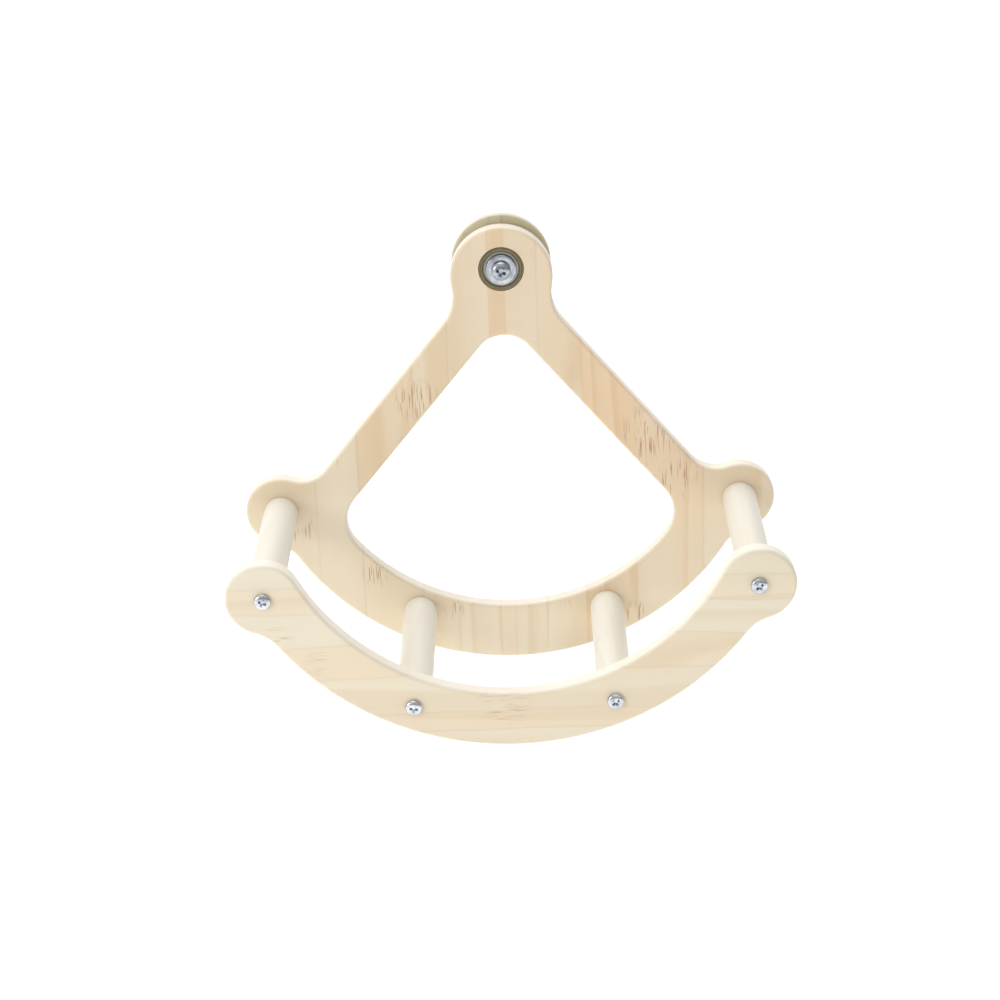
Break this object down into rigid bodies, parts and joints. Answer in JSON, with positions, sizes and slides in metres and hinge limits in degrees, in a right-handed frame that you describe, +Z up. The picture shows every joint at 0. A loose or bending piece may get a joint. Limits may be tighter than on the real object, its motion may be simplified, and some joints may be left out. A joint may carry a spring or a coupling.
{
  "type": "hanging pet seesaw",
  "caption": "Hanging wooden seesaw for small pets: two shaped plates joined by round rungs, swinging on a ball bearing clamped to a cage wall.",
  "frame": {"origin": "on the pivot axis, in the back face of the wall disc, where the part meets the cage wall", "axes": "+Y along the pivot out through the cage wall, +X to the right seen from inside the cage, +Z up"},
  "size_m": [0.2678, 0.1434, 0.2342],
  "materials": {
    "pine_rear": "bare sanded pine, grain upright",
    "pine_front": "bare sanded pine, grain lengthwise",
    "pine_rung": "bare turned wood",
    "disc_wood": "bare sanded wood, slightly grey",
    "zinc": "bright zinc plated steel",
    "bearing_steel": "oiled bearing steel",
    "ball_steel": "polished steel"
  },
  "bodies": {
    "wall_mount": {"wall_disc": "disc_wood", "pivot_screw": "zinc", "front_washer": "zinc", "bearing_sleeve": "zinc", "bearing_inner_ring": "bearing_steel", "spacer_bush": "zinc"},
    "swing": {"rear_plate": "pine_rear", "front_plate": "pine_front", "rung_upper_left": "pine_rung", "rung_upper_right": "pine_rung", "rung_lower_left": "pine_rung", "rung_lower_right": "pine_rung", "front_screw_upper_left": "zinc", "front_screw_upper_right": "zinc", "front_screw_lower_left": "zinc", "front_screw_lower_right": "zinc", "rear_screw_upper_left": "zinc", "rear_screw_upper_right": "zinc", "rear_screw_lower_left": "zinc", "rear_screw_lower_right": "zinc", "bearing_outer_ring": "bearing_steel", "bearing_front_shield": "bearing_steel", "bearing_rear_shield": "bearing_steel"},
    "ball_cage": {"ball_cage": "bearing_steel", "ball_1": "ball_steel", "ball_2": "ball_steel", "ball_3": "ball_steel", "ball_4": "ball_steel", "ball_5": "ball_steel", "ball_6": "ball_steel", "ball_7": "ball_steel"},
    "clamp_washer": {"clamp_washer": "zinc"},
    "wing_nut": {"wing_nut": "zinc"}
  },
  "joints": [
    {"name": "swing_pivot", "type": "hinge", "parent": "wall_mount", "child": "swing", "pos_m": [0, -0.0113, 0], "axis": [0, 1, 0], "continuous": true},
    {"name": "ball_cage_turn", "type": "hinge", "parent": "wall_mount", "child": "ball_cage", "pos_m": [0, -0.0113, 0], "axis": [0, 1, 0], "continuous": true},
    {"name": "clamp_travel", "type": "slide", "parent": "wall_mount", "child": "clamp_washer", "axis": [0, 1, 0], "range_m": [-0.0032, 0.0032]},
    {"name": "wing_nut_turn", "type": "hinge", "parent": "clamp_washer", "child": "wing_nut", "pos_m": [0, 0.005, 0], "axis": [0, 1, 0], "range_deg": [-1445, 1445]}
  ],
  "couplings": [
    {"joint": "ball_cage_turn", "follows": "swing_pivot", "ratio": 0.6323},
    {"joint": "wing_nut_turn", "follows": "clamp_travel", "rad_per_m": 7854}
  ]
}
